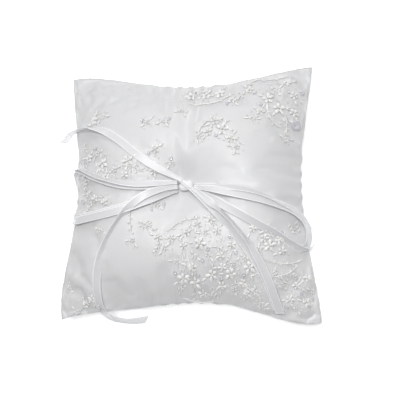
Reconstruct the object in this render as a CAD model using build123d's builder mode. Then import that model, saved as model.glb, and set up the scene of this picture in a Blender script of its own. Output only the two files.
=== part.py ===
"""Ring bearer pillow: a small satin cushion with a lace front, tufted in the middle and tied with ribbon.

Frame: the pillow lies on its back on the plane z = 0, with its lace front up (+Z).
+X is to the right and +Y to the top of the pillow as it is looked at from above.
The origin is under the middle of the square. All lengths are millimetres.
"""

from build123d import *
import os
from math import cos, dist, exp, radians, sin, sqrt, tan

os.makedirs("parts", exist_ok=True)

# ---- The cushion -----------------------------------------------------------------------------
HALF_SIDE = 103.5  # from the middle to a corner point, along X and along Y
SEAM_HEIGHT = 27.0  # the side seam above the surface that the pillow lies on
CORNER_DROOP = 5.0  # how much lower the empty corner points hang than the middle of the seam
# Each side is drawn in between its corners: depth at its middle, then the lean, the fullness of its
# ends and the uneven filling of its two corners, as factors of the place along it to growing powers.
LEFT_PULL = (10.9, 1.8, -12.7, 4.6)
RIGHT_PULL = (12.3, 0.9, -7.2, 0.1)
TOP_PULL = (14.5, 4.2, -14.0, -0.2)
BOTTOM_PULL = (14.1, 6.6, -11.5, -23.7)
CROWN_RISE = 32.0  # the front above the seam, if it had no tuft
CROWN_DIMPLE, CROWN_DIMPLE_REACH = 20.0, 22.0
BACK_DROP = 40.0  # the back below the seam, if nothing flattened it
BACK_DIMPLE, BACK_DIMPLE_REACH = 24.0, 16.0
DIMPLE_ROUNDING = 8.0  # keeps the bottom of each dimple round
SWELL_NEAR, SWELL_FAR = 0.45, 0.55  # square and fourth-power shares of the fall to the seam
FLAT_ROUNDING = 2.0  # how softly the back flattens onto the surface
BACK_CLEARANCE = 0.2  # lifts the flattened back, so that its cloth isn't cut through

# ---- Cloth layers, each from its inner face to its outer face, off the filling's skin -----------
COVER_LAYER = (0.15, 0.75)
NET_LAYER = (0.9, 1.2)
FILLING_GAP = 0.1
FILLING_REACH = 0.97  # how far the filling goes into the seam, as a share of the half side
GRID = 41  # points along each side of a cloth surface
EDGE_CROWDING = 0.4  # how much closer the points stand near the seam
SURFACE_TOLERANCE = 0.01
PROBE = 1e-4  # step for slopes

# ---- Thread ------------------------------------------------------------------------------------
THREAD_RADIUS = 0.5
NEEDLE_HOLE_RADIUS = 0.8
SEAM_THREAD_RADIUS = 0.25
SEAM_THREAD_INSET = 0.985
SEAM_THREAD_SPAN = 0.94
TUFT_STITCH_LENGTH = 7.0
TUFT_STITCH_RADIUS = 0.45
TACK_REACH = 4.6
TACK_TOP, TACK_FOOT = 43.2, 42.2
CLOSING_STITCHES, CLOSING_PITCH = 14, 5.0
CLOSING_STITCH_RADIUS, CLOSING_STITCH_HEIGHT, CLOSING_STITCH_OFFSET = 0.3, 3.4, 1.5

# ---- Ribbon ------------------------------------------------------------------------------------
RIBBON_WIDTH = 6.5
RIBBON_THICKNESS = 0.5
KNOT_CENTRE = (1.8, 0.8, 44.6)
KNOT_HALF_SIZES = (7.2, 5.4, 3.9)
KNOT_TURN = -32.0
ARC_SHARE = 0.45  # of the shorter run, which an arc may use

# ---- Embroidery --------------------------------------------------------------------------------
MOTIF_BASE = 1.3  # off the filling's skin
BLOSSOM_THICKNESS, LEAF_THICKNESS, SEQUIN_THICKNESS = 0.5, 0.35, 0.2
PETALS = 5
PETAL_RING, PETAL_SIZE, HEART_SIZE = 0.56, 0.4, 0.36  # shares of a blossom's radius
LEAF_LENGTH, LEAF_HALF_WIDTH = 5.6, 1.15
LEAF_DISTANCE = 1.15  # from a blossom's middle to a leaf's base, in blossom radii
LEAF_TURN = 137.5
LEAF_SPACING = 4.2  # the least distance between two leaves' middles
STEM_RADIUS, STEM_LIFT = 0.4, 1.75
BEAD_RADIUS = 0.75
SEQUIN_RADIUS, SEQUIN_HOLE_RADIUS = 1.7, 0.35
LARGE_SEQUIN_RADIUS = 4.2
RIBBON_ROOM = 5.2  # beads keep this far from a ribbon's middle line


# ---- Surfaces ----------------------------------------------------------------------------------
def side_pull(shape, along):
    """How far a side is drawn in at a place along it, from -1 to 1 between its corners."""
    return (1 - along**2) * sum(factor * along**power for power, factor in enumerate(shape))


def plan(u, v):
    """The place in the square, in millimetres, of the cloth point (u, v), each from -1 to 1."""
    pull_x = (1 + u) / 2 * side_pull(RIGHT_PULL, v) + (1 - u) / 2 * side_pull(LEFT_PULL, v)
    pull_y = (1 + v) / 2 * side_pull(TOP_PULL, u) + (1 - v) / 2 * side_pull(BOTTOM_PULL, u)
    return u * (HALF_SIDE - pull_x), v * (HALF_SIDE - pull_y)


def swell(share):
    """How full the cushion is on the way from its middle (1) to its seam (0)."""
    return 1 - SWELL_NEAR * share**2 - SWELL_FAR * share**4


def dimple(x, y, depth, reach):
    """The tuft's dent: deepest in the middle, fading out with distance."""
    distance = sqrt(x * x + y * y + DIMPLE_ROUNDING**2) - DIMPLE_ROUNDING
    return depth * exp(-distance / reach)


def crown(u, v):
    """The filling's front skin: seam height plus the swell, less the tuft's dent."""
    x, y = plan(u, v)
    seam = SEAM_HEIGHT - CORNER_DROOP * u * u * v * v
    fullness = swell(u) * swell(v)
    return Vector(x, y, seam + fullness * (CROWN_RISE - dimple(x, y, CROWN_DIMPLE, CROWN_DIMPLE_REACH)))


def back(u, v):
    """The filling's back skin: it hangs below the seam and flattens softly onto the surface."""
    x, y = plan(u, v)
    seam = SEAM_HEIGHT - CORNER_DROOP * u * u * v * v
    fullness = swell(u) * swell(v)
    hang = seam - fullness * (BACK_DROP - dimple(x, y, BACK_DIMPLE, BACK_DIMPLE_REACH))
    floor = (hang + sqrt(hang * hang + FLAT_ROUNDING**2)) / 2
    return Vector(x, y, floor + BACK_CLEARANCE * fullness)


def normal(skin, u, v):
    """The upward normal of a skin at (u, v)."""
    along_u = skin(u + PROBE, v) - skin(u - PROBE, v)
    along_v = skin(u, v + PROBE) - skin(u, v - PROBE)
    return along_u.cross(along_v).normalized()


def cloth_place(x, y):
    """The cloth point (u, v) over a place in the square, by repeated correction."""
    u, v = x / HALF_SIDE, y / HALF_SIDE
    for _ in range(40):
        reached_x, reached_y = plan(u, v)
        u += (x - reached_x) / HALF_SIDE
        v += (y - reached_y) / HALF_SIDE
    return u, v


def on_crown(x, y, lift, heading=0.0):
    """A plane lying on the front at (x, y), raised by lift, its X axis turned to heading."""
    u, v = cloth_place(x, y)
    out = normal(crown, u, v)
    along = Vector(cos(radians(heading)), sin(radians(heading)), 0)
    return Plane(origin=crown(u, v) + out * lift, x_dir=along - out * along.dot(out), z_dir=out)


def cloth_face(skin, offset, reach=1.0):
    """One smooth face at an offset from a skin, its points closer together towards the seam."""
    evenly = [-1 + 2 * step / (GRID - 1) for step in range(GRID)]
    shares = [reach * ((1 + EDGE_CROWDING / 2) * t - EDGE_CROWDING / 2 * t**3) for t in evenly]
    rows = [[skin(u, v) + normal(skin, u, v) * offset for v in shares] for u in shares]
    return Face.make_surface_from_array_of_points(rows, tol=SURFACE_TOLERANCE)


def closed_between(first, second):
    """The solid between two cloth faces, with a narrow face along each of its four sides."""
    rims = []
    for edge in first.edges():
        middle = edge.center()
        partner = min(second.edges(), key=lambda other: (other.center() - middle).length)
        rims.append(Face.make_surface_from_curves(edge, partner))
    return Solid(Shell([first, second] + rims))


def cloth_layer(skin, layer, sign):
    """A layer of cloth over a skin. sign is 1 above the filling and -1 below it."""
    return closed_between(cloth_face(skin, sign * layer[0]), cloth_face(skin, sign * layer[1]))


def needle_hole():
    """Cut the hole that the tuft thread passes through."""
    Cylinder(NEEDLE_HOLE_RADIUS, 4 * SEAM_HEIGHT, mode=Mode.SUBTRACT)


# ---- Ribbon routes: the middle line of each stretch, from the knot outwards ----------------------
ONE_LEFT_LOOP = [
    (-5, 1, 46), (-14, 0.8, 48.8), (-24, 0, 52), (-34, -0.6, 54), (-44, 0, 54), (-54, 2, 52.5),
    (-64, 4.8, 49.5), (-73.5, 8.8, 45), (-82, 13.2, 39.5), (-90.5, 17.2, 33), (-97, 19.5, 25),
    (-98.5, 13, 16.5), (-97.3, 3, 12.2), (-97, -8, 12.6), (-98, -17.5, 17.5), (-96.5, -23.2, 27),
    (-89.5, -24.3, 35.5), (-80, -23.6, 42.5), (-70, -22.6, 48), (-59.5, -21.3, 52.5),
    (-49, -19.3, 55), (-39.5, -16.5, 55.5), (-31.5, -13.5, 55), (-22.5, -10, 52.6), (-13.5, -6, 48.2),
    (-5, -2.8, 43.2),
]
TWO_LEFT_LOOP = [
    (-5, 3, 47.4), (-14, 2.4, 50.4), (-24, 1.6, 53.6), (-34, 1, 55.2), (-44, 1.8, 55.5), (-54, 3.8, 54),
    (-64, 6.8, 51), (-73.5, 10.8, 46), (-82, 15.3, 40.5), (-89.5, 19.8, 34.5), (-94.6, 22, 28.5),
    (-96, 16.5, 21), (-94.6, 7.5, 16.5), (-93.8, -2.5, 15.3), (-94.2, -12, 17.5), (-94.8, -19, 23.5),
    (-92.3, -22, 31), (-85, -22.2, 38), (-76, -21.6, 44), (-66, -20.6, 49), (-55.5, -18.9, 52.5),
    (-45.5, -16.6, 54), (-36, -13.6, 54.5), (-27.5, -10.2, 53), (-19, -6.7, 50.5), (-12, -3.9, 46.5),
    (-5, -1.6, 43),
]
TWO_LEFT_TAIL = [
    (-0.5, 4.2, 48.3), (-7, 7.6, 48), (-15.5, 11.7, 51), (-24.9, 16.9, 53.5), (-33.3, 22.6, 54.5),
    (-41.5, 29.2, 54), (-49.6, 36.2, 53), (-57.5, 42, 51), (-66, 47.3, 48.5), (-75, 51, 45),
    (-83.5, 52.7, 40.5), (-91, 52.6, 35.5), (-98, 52, 31), (-104.5, 52.7, 22.5), (-109.5, 53.3, 14),
    (-114.5, 52.9, 7), (-119.3, 51.3, 3.6),
]
ONE_LEFT_TAIL = [
    (-4.5, -0.8, 47), (-11, -1.3, 49), (-18.5, -3.3, 52.5), (-26, -6.4, 55), (-33, -10.6, 56.5),
    (-39.5, -15.8, 56.5), (-45, -21.4, 55), (-50, -27.7, 53.5), (-54.7, -34.2, 52), (-59, -41, 50),
    (-62.8, -48, 48), (-65.7, -55, 46), (-67.8, -62.5, 44), (-69, -70, 41.5), (-69.6, -77.5, 38.5),
    (-69.6, -85, 35), (-69, -92, 31), (-67.2, -98.6, 23.5), (-65.3, -102, 14), (-61.2, -104.4, 6.8),
    (-53.5, -105.4, 4.1), (-45, -105, 3.9), (-37.2, -103.6, 3.9),
]
ONE_RIGHT_LOOP = [
    (8.5, -1.2, 47.2), (18, -2.8, 53.2), (29, -5.4, 56), (39.5, -7.8, 56.3), (50, -10, 54.8),
    (60, -12, 52), (69.5, -14.4, 47.5), (78, -16.8, 42.5), (85, -19.9, 37.5), (90.6, -24, 34.2),
    (94, -29.3, 31.4), (95.6, -35.3, 29.4), (95.6, -41.5, 28.6), (93.2, -46.6, 30),
    (88.2, -48, 33.8), (82.2, -45.2, 38.4), (75.8, -41.2, 42.9), (69, -36.7, 47.5), (61, -32.8, 51), (52.5, -28.2, 53.5),
    (43.5, -23.2, 55.5), (34.5, -18.1, 55.5), (26, -12.8, 54.2), (18, -7.9, 51), (12, -4.5, 47.6),
    (8, -2.6, 44.4),
]
TWO_RIGHT_LOOP = [
    (8.5, 1, 44.5), (18, -0.5, 49.5), (28.5, -2, 53), (38.5, -3.2, 54), (48.5, -4.7, 53.5),
    (58, -7, 51.5), (67.5, -10.5, 47.5), (76.5, -14.5, 42), (84.5, -18.5, 36), (91.6, -23, 30.5),
    (96.4, -28.6, 27), (99.6, -34.8, 24.8), (100.6, -41.2, 24.2), (98.4, -46.8, 25.4),
    (93.4, -49.4, 28.4), (86.6, -47, 33.6), (79, -42.3, 39.9), (70, -37.2, 46), (61.5, -33.2, 49.5),
    (53, -28.6, 52.5), (44, -23.6, 54), (35, -18.5, 54.5), (26.5, -13.2, 52.6), (18.5, -8.2, 49.6),
    (12, -4.4, 45.8), (8, -2.2, 42.6),
]
ONE_RIGHT_TAIL = [
    (5, -2, 48), (10, -6, 48.5), (16.2, -11.5, 52), (22.3, -17.6, 54), (28.5, -24.2, 54.5),
    (34.5, -31, 54.5), (40, -37.7, 54), (45.2, -44.3, 52.5), (50, -50.8, 50.5), (54.6, -57.4, 48.5),
    (58.6, -64.3, 46), (62, -71.6, 42.5), (65, -79, 39), (67.8, -86.6, 35.5), (70.4, -93.8, 31.5),
]
TWO_RIGHT_TAIL = [
    (6.5, -1.2, 49), (11.5, -4.9, 50), (17.5, -10.3, 53), (24.3, -16.4, 56), (30.4, -22.2, 57),
    (36.3, -27.8, 57), (41.6, -33.6, 56), (46.3, -39.5, 55), (50.6, -45.6, 53.5),
    (54.6, -52.3, 51.5), (58.2, -59.2, 48.5), (61.6, -66.5, 45.5), (64.6, -74.2, 42.5),
    (67.4, -82, 38.5), (70, -89.6, 34.5), (72.2, -96.6, 30.5),
]
RIBBON_STRETCHES = {
    "ribbon_one_left_loop": ONE_LEFT_LOOP,
    "ribbon_two_left_loop": TWO_LEFT_LOOP,
    "ribbon_one_right_loop": ONE_RIGHT_LOOP,
    "ribbon_two_right_loop": TWO_RIGHT_LOOP,
    "ribbon_one_left_tail": ONE_LEFT_TAIL,
    "ribbon_two_left_tail": TWO_LEFT_TAIL,
    "ribbon_one_right_tail": ONE_RIGHT_TAIL,
    "ribbon_two_right_tail": TWO_RIGHT_TAIL,
}

# ---- Embroidery layout: where each blossom, stem and sequin is sewn, in the square -----------------
LARGE, MEDIUM, SMALL = 4.6, 3.5, 2.4  # blossom radii
BLOSSOMS = {
    LARGE: [
        (66, 70), (74, 62), (-65, 20), (-43, 20), (14, -45), (0, -70), (22, -68), (36, -67),
        (50, -62), (65, -46), (31, 43), (9, -74), (4, 75), (28, 78),
    ],
    MEDIUM: [
        (17, 75), (38, 69), (52, 80), (60, 58), (88, 76), (20, 41), (25, 50), (37, 35), (-22, 29),
        (-46, 9), (-62, 9), (-23, 11), (-71, -8), (-62, -12), (-18, -40), (4, -37), (12, -31),
        (22, -27), (1, -47), (-8, -41), (27, -36), (37, -46), (29, -54), (29, -76), (45, -74),
        (14, -82), (48, -82), (53, -34), (61, -41), (72, -42), (74, -50), (57, -48), (85, -76),
        (93, -70), (80, -86), (92, -88), (-75, -86), (-82, -91), (-80, 27), (-83, 7), (86, 60),
        (82, 87), (-76, 58), (30, -62), (7, -62),
    ],
    SMALL: [
        (-29, 51), (-16, 51), (-2, 60), (54, 52), (79, 54), (13, 38), (42, 28), (-9, 18), (-71, 29),
        (-36, 15), (-54, 14), (-85, 17), (-80, -4), (-79, -15), (-20, -15), (-28, -31), (-64, -34),
        (-13, -48), (18, -37), (20, -53), (-4, -58), (47, -56), (57, -67), (56, -80), (58, -90),
        (38, -78), (22, -82), (50, -28), (63, -34), (67, -38), (68, -74), (75, -74), (84, -93),
        (97, -80), (-96, -78), (-90, -97), (11, 80), (45, 74), (72, 78), (80, 37), (-86, 36),
        (-3, -78), (9, -55), (38, -59), (-38, -42), (-68, 60),
    ],
}
# Each stem runs from one place to another and bows sideways by the last number.
STEMS = [
    ((46, 85), (84, 93), 2.0), ((78, 57), (80, 40), 1.5), ((66, 66), (76, 46), -5.0),
    ((12, 37), (25, 53), 3.0), ((25, 53), (41, 31), 3.0), ((2, 66), (38, 74), -3.0),
    ((-78, 55), (-72, 66), 1.5), ((-74, 24), (-56, 12), -3.0), ((-52, 16), (-30, 11), 2.5),
    ((-40, -19), (-38, -38), -1.0), ((-34, -28), (-20, -36), 1.5), ((-17, -43), (-22, -52), 1.0),
    ((-10, -36), (12, -27), 3.0), ((0, -52), (10, -65), -3.0), ((20, -48), (34, -52), 2.5),
    ((54, -28), (76, -46), 4.0), ((58, -54), (91, -56), -4.5), ((66, -69), (87, -60), -2.0),
    ((70, -61), (70, -68), -1.5), ((78, -66), (85, -71), 1.0), ((82, -82), (96, -92), 2.0),
    ((56, -86), (62, -93), 1.0), ((-3, -84), (24, -87), -2.5), ((38, -74), (58, -84), 2.0),
    ((-86, -95), (-70, -87), 2.0), ((80, -28), (84, -37), 0.8), ((85, -25), (89, -36), 0.8),
]
SEQUINS = [
    (-33, 53), (-12, 53), (-27, 26), (-10, 22), (-84, 24), (-83, 12), (-81, 1), (-84, -9),
    (36, -40), (40, -51), (20, -48.5), (16, -57), (94, 79), (56, -30), (74, -37), (-15, -14),
    (-72, 34), (8, 80.5), (34, 66), (56, 76), (60, 64), (26, 38), (12, -68), (29, -70), (-6, -66),
    (88, -82), (77, -91), (97, -86), (-70, -92), (46, -67),
]
LARGE_SEQUIN = (87, 50)

# ---- Cloth, filling ------------------------------------------------------------------------------
with BuildPart() as front_cover:
    add(cloth_layer(crown, COVER_LAYER, 1))
    needle_hole()

with BuildPart() as lace_overlay:
    add(cloth_layer(crown, NET_LAYER, 1))
    needle_hole()

with BuildPart() as back_cover:
    add(cloth_layer(back, COVER_LAYER, -1))
    needle_hole()
    with Locations((0, 0, -SEAM_HEIGHT / 2)):
        Box(3 * HALF_SIDE, 3 * HALF_SIDE, SEAM_HEIGHT, mode=Mode.SUBTRACT)

with BuildPart() as fibre_filling:
    add(
        closed_between(
            cloth_face(crown, -FILLING_GAP, FILLING_REACH), cloth_face(back, FILLING_GAP, FILLING_REACH)
        )
    )
    needle_hole()

# ---- Thread --------------------------------------------------------------------------------------
knot_underside = KNOT_CENTRE[2] - KNOT_HALF_SIZES[2]
tuft_foot = back(0, 0).Z - COVER_LAYER[1] - TUFT_STITCH_RADIUS
with BuildPart() as tuft_thread:
    with BuildSketch(Plane.XY.offset(tuft_foot + TUFT_STITCH_RADIUS)):
        Circle(THREAD_RADIUS)
    extrude(amount=knot_underside - tuft_foot - TUFT_STITCH_RADIUS)

with BuildPart() as back_tuft_stitch:
    for turn in (45, -45):
        with BuildSketch(Plane(origin=(0, 0, tuft_foot), z_dir=(cos(radians(turn)), sin(radians(turn)), 0))):
            Circle(TUFT_STITCH_RADIUS)
        extrude(amount=TUFT_STITCH_LENGTH / 2, both=True)

with BuildPart() as ribbon_tack_stitch:
    for side in (1, -1):
        for lean in (30, 150):
            foot = Vector(side * TACK_REACH * cos(radians(lean)), side * TACK_REACH * sin(radians(lean)), 0)
            low = Vector(foot.X * 1.5, foot.Y * 1.5, TACK_FOOT)
            high = Vector(foot.X * 1.1, foot.Y * 1.1, TACK_TOP)
            with BuildSketch(Plane(origin=low, z_dir=high - low)):
                Circle(SEAM_THREAD_RADIUS)
            extrude(amount=(high - low).length)


def seam_point(u, v):
    """A place on the seam thread's line, level with the seam."""
    x, y = plan(u, v)
    return Vector(x, y, SEAM_HEIGHT - CORNER_DROOP * u * u * v * v)


with BuildPart() as seam_thread:
    for across, along in ((-1, 0), (1, 0), (0, -1), (0, 1)):
        inset = SEAM_THREAD_INSET * (across + along)
        spans = (-SEAM_THREAD_SPAN, 0, SEAM_THREAD_SPAN)
        stops = [seam_point(inset, t) if across else seam_point(t, inset) for t in spans]
        with BuildLine() as seam_line:
            ThreePointArc(*stops)
        with BuildSketch(Plane(origin=seam_line.line @ 0, z_dir=seam_line.line % 0)):
            Circle(SEAM_THREAD_RADIUS)
        sweep(path=seam_line.line)

with BuildPart() as closing_stitches:
    for count in range(CLOSING_STITCHES):
        x = (count - (CLOSING_STITCHES - 1) / 2) * CLOSING_PITCH
        u = cloth_place(x, HALF_SIDE - TOP_PULL[0])[0]
        edge = seam_point(u, 1)
        with BuildSketch(
            Plane.XY.offset(edge.Z - CLOSING_STITCH_HEIGHT / 2).move(
                Location((edge.X, edge.Y + CLOSING_STITCH_OFFSET, 0))
            )
        ):
            Circle(CLOSING_STITCH_RADIUS)
        extrude(amount=CLOSING_STITCH_HEIGHT)

# ---- Bow -----------------------------------------------------------------------------------------
with BuildPart() as bow_knot:
    Sphere(1)
    scale(by=KNOT_HALF_SIZES)
bow_knot_placed = Location(KNOT_CENTRE, (0, 0, KNOT_TURN)) * bow_knot.part
with BuildPart() as bow_knot:
    add(bow_knot_placed)


def arc_radii(route):
    """For each inner point of a route, the largest arc that its two runs allow."""
    points = [Vector(*point) for point in route]
    radii = []
    for before, here, after in zip(points, points[1:], points[2:]):
        turn = radians((here - before).get_angle(after - here))
        shorter = min((here - before).length, (after - here).length)
        radii.append(ARC_SHARE * shorter / tan(turn / 2))
    return radii


def ribbon_band(route):
    """A flat band along straight runs joined by tangent arcs, lying level across its first run."""
    with BuildPart() as band:
        with BuildLine() as middle:
            FilletPolyline(*route, radius=arc_radii(route))
        spine = middle.wires()[0]
        ahead = spine % 0
        across = Vector(-ahead.Y, ahead.X, 0).normalized()
        with BuildSketch(Plane(origin=spine @ 0, x_dir=across, z_dir=ahead)):
            Rectangle(RIBBON_WIDTH, RIBBON_THICKNESS)
        sweep(path=spine)
    expected = RIBBON_WIDTH * RIBBON_THICKNESS * spine.length
    return band, spine.length, band.part.volume / expected


ribbon_parts = {}
for node, route in RIBBON_STRETCHES.items():
    ribbon_parts[node], length, volume_share = ribbon_band(route)
    radii_text = " ".join(f"{radius:.1f}" for radius in arc_radii(route))
    print(f"{node}: {length:.1f} mm long, volume / (section x length) = {volume_share:.4f}")
    print(f"  arc radii: {radii_text}")


# ---- Embroidery ----------------------------------------------------------------------------------
def beside_ribbon(x, y):
    """Whether a place lies under or right beside a ribbon."""
    for route in RIBBON_STRETCHES.values():
        for start, end in zip(route, route[1:]):
            run_x, run_y = end[0] - start[0], end[1] - start[1]
            share = ((x - start[0]) * run_x + (y - start[1]) * run_y) / (run_x**2 + run_y**2)
            share = min(1, max(0, share))
            gap_x, gap_y = x - start[0] - share * run_x, y - start[1] - share * run_y
            if gap_x**2 + gap_y**2 < RIBBON_ROOM**2:
                return True
    return False


with BuildPart() as embroidered_blossoms:
    for radius, places in BLOSSOMS.items():
        planes = [on_crown(x, y, MOTIF_BASE, heading=7 * x + 11 * y) for x, y in places]
        with BuildSketch(*planes):
            Circle(HEART_SIZE * radius)
            with PolarLocations(PETAL_RING * radius, PETALS):
                Circle(PETAL_SIZE * radius)
        extrude(amount=BLOSSOM_THICKNESS)

leaf_planes = []
leaf_middles = []
for radius, places in BLOSSOMS.items():
    for count, (x, y) in enumerate(places):
        for leaf in range(2 if radius > SMALL else 1):
            heading = LEAF_TURN * (count + leaf * 1.4) + radius * 30
            base_x = x + LEAF_DISTANCE * radius * cos(radians(heading))
            base_y = y + LEAF_DISTANCE * radius * sin(radians(heading))
            tip_x = base_x + LEAF_LENGTH * cos(radians(heading))
            tip_y = base_y + LEAF_LENGTH * sin(radians(heading))
            middle = ((base_x + tip_x) / 2, (base_y + tip_y) / 2)
            inside = max(abs(part) for part in cloth_place(tip_x, tip_y)) < FILLING_REACH
            if inside and all(dist(middle, other) > LEAF_SPACING for other in leaf_middles):
                leaf_middles.append(middle)
                leaf_planes.append(on_crown(base_x, base_y, MOTIF_BASE, heading))

with BuildPart() as embroidered_leaves:
    with BuildSketch(*leaf_planes):
        with BuildLine():
            ThreePointArc((0, 0), (LEAF_LENGTH / 2, LEAF_HALF_WIDTH), (LEAF_LENGTH, 0))
            ThreePointArc((LEAF_LENGTH, 0), (LEAF_LENGTH / 2, -LEAF_HALF_WIDTH), (0, 0))
        make_face()
    extrude(amount=LEAF_THICKNESS)

with BuildPart() as corded_stems:
    for start, end, bow in STEMS:
        run_x, run_y = end[0] - start[0], end[1] - start[1]
        run = sqrt(run_x**2 + run_y**2)
        middle = (
            (start[0] + end[0]) / 2 - bow * run_y / run,
            (start[1] + end[1]) / 2 + bow * run_x / run,
        )
        stops = [on_crown(x, y, STEM_LIFT).origin for x, y in (start, middle, end)]
        with BuildLine() as stem_line:
            ThreePointArc(*stops)
        with BuildSketch(Plane(origin=stem_line.line @ 0, z_dir=stem_line.line % 0)):
            Circle(STEM_RADIUS)
        sweep(path=stem_line.line)

bead_height = MOTIF_BASE + BLOSSOM_THICKNESS + BEAD_RADIUS
bead_places = [place for places in BLOSSOMS.values() for place in places if not beside_ribbon(*place)]
with BuildPart() as seed_beads:
    with Locations(*[on_crown(x, y, bead_height).location for x, y in bead_places]):
        Sphere(BEAD_RADIUS)

with BuildPart() as clear_sequins:
    with BuildSketch(*[on_crown(x, y, MOTIF_BASE) for x, y in SEQUINS if not beside_ribbon(x, y)]):
        Circle(SEQUIN_RADIUS)
        Circle(SEQUIN_HOLE_RADIUS, mode=Mode.SUBTRACT)
    extrude(amount=SEQUIN_THICKNESS)
    with BuildSketch(on_crown(*LARGE_SEQUIN, MOTIF_BASE)):
        Circle(LARGE_SEQUIN_RADIUS)
        Circle(SEQUIN_HOLE_RADIUS, mode=Mode.SUBTRACT)
    extrude(amount=SEQUIN_THICKNESS)

# ---- Export --------------------------------------------------------------------------------------
nodes = {
    "front_cover": front_cover,
    "lace_overlay": lace_overlay,
    "back_cover": back_cover,
    "fibre_filling": fibre_filling,
    "tuft_thread": tuft_thread,
    "back_tuft_stitch": back_tuft_stitch,
    "ribbon_tack_stitch": ribbon_tack_stitch,
    "seam_thread": seam_thread,
    "closing_stitches": closing_stitches,
    "bow_knot": bow_knot,
    "embroidered_blossoms": embroidered_blossoms,
    "embroidered_leaves": embroidered_leaves,
    "corded_stems": corded_stems,
    "seed_beads": seed_beads,
    "clear_sequins": clear_sequins,
}
nodes.update(ribbon_parts)
for node, built in nodes.items():
    built.part.label = node
    export_step(built.part, f"parts/{node}.step")
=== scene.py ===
"""Ring bearer pillow: a tufted satin cushion under beaded lace, with a ribbon bow sewn into its middle.

Lengths in the named values are millimetres; MM turns them into the frame's metres.
The pillow lies on its back on z = 0 with its lace front up, +X to its right and +Y to its top.
"""

from math import cos, pi, radians, sin

import bpy
import numpy as np
from mathutils import Matrix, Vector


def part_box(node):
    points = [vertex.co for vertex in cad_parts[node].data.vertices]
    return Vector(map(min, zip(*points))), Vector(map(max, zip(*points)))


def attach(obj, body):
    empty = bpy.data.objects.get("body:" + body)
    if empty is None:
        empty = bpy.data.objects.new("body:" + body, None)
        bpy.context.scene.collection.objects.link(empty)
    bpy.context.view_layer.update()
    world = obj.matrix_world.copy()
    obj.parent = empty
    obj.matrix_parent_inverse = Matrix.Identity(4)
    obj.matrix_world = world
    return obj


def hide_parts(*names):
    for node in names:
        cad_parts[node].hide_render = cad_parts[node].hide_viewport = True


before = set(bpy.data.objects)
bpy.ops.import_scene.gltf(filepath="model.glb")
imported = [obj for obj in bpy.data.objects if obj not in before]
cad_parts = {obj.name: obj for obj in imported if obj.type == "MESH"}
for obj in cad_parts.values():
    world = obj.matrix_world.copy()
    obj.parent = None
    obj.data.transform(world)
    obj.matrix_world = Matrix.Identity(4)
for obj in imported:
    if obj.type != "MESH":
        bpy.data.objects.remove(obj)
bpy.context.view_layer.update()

MM = 0.001
rng = np.random.default_rng(20)

# ---- The cushion's shape ----
HALF_SIDE = 103.5
SEAM_HEIGHT, CORNER_DROOP = 27.0, 5.0
# Each side is drawn in between its corners: depth at its middle, then the lean, the fullness of its
# ends and the uneven filling of its two corners, as factors of the place along it to growing powers.
LEFT_PULL, RIGHT_PULL = (10.9, 1.8, -12.7, 4.6), (12.3, 0.9, -7.2, 0.1)
TOP_PULL, BOTTOM_PULL = (14.5, 4.2, -14.0, -0.2), (14.1, 6.6, -11.5, -23.7)
CROWN_RISE, CROWN_DIMPLE, CROWN_DIMPLE_REACH = 32.0, 20.0, 22.0
BACK_DROP, BACK_DIMPLE, BACK_DIMPLE_REACH = 40.0, 24.0, 16.0
DIMPLE_ROUNDING, FLAT_ROUNDING, BACK_CLEARANCE = 8.0, 2.0, 0.2
SWELL_NEAR, SWELL_FAR = 0.45, 0.55
COVER_OFFSET = 0.65
CUSHION_GRID = 65
EDGE_CROWDING = 0.4
SCALLOP = 0.7
FAN_HEIGHT, FAN_RING, FAN_SPREAD = 0.4, 13.0, 9.0  # the pleats round the tuft
RIM_HEIGHT, RIM_REACH, RIM_EASE = 0.55, 0.07, 0.03  # the puckers along the seam; both reaches are shares
POINT_LIMIT, STITCH_LIMIT = 0.995, 0.965  # how near the seam points and stitches may come, as shares

# ---- The satin's slack ----
SLACK, PUCKER_CAP = -0.035, 1.0
TUFT_HOLD, REST_HOLD = 6.0, 1.0  # cloth is held this near the tuft, and below this height
CLOTH_MASS, CLOTH_STRETCH, CLOTH_SHEAR, CLOTH_BEND, CLOTH_PRESSURE = 0.15, 12, 6, 0.6, 4
SIM_QUALITY, SIM_FRAMES = 6, 20
FOLD_ROUNDS = 40
BORDER_CREASE = 0.6

# ---- Ribbon ----
RIBBON_WIDTH, RIBBON_THICKNESS = 6.5, 0.3
STATION_PITCH = 1.1
BAND_POINTS = 9  # across each face
SELVEDGE_FROM, SELVEDGE_GAIN = 0.85, 0.35  # where the woven edge starts, and how much thicker it is
KNOT_GATHER, KNOT_REACH = 0.55, 15.0  # how much the knot narrows a ribbon, and over what length
KNOT_LENGTH, KNOT_WIDTH, KNOT_HEIGHT = 5.6, 3.9, 2.7  # half sizes
KNOT_HEADING = radians(18)
KNOT_RINGS, KNOT_SIDES = 26, 40
WRAP_PATH = [  # from the middle of the knot
    (-6.6, 6.0, -3.6), (-5.4, 5.0, 0.6), (-2.8, 2.9, 3.6), (0.6, 0.2, 4.5), (4.2, -2.7, 3.4),
    (6.6, -5.0, 0.4), (7.6, -6.0, -3.4),
]
WRAP_LEAN = (0.66, 0.75, 0.0)
WRAP_STATIONS, WRAP_POINTS = 40, 13
WRAP_HALF_WIDTH, WRAP_FLARE, WRAP_THICKNESS = 2.0, 0.5, 0.6

# ---- Beads, sequins and thread ----
PETAL_LIFT = 0.75
BEAD_RADIUS, BEAD_LIFT = 0.85, 1.7
TINY_BEAD_RADIUS, TINY_BEAD_LIFT = 0.6, 1.1
SEQUIN_RADIUS, LARGE_SEQUIN_RADIUS, SEQUIN_LIFT = 1.6, 3.9, 1.0
SEQUIN_SIDES, SEQUIN_CUP = 13, 0.8
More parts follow.
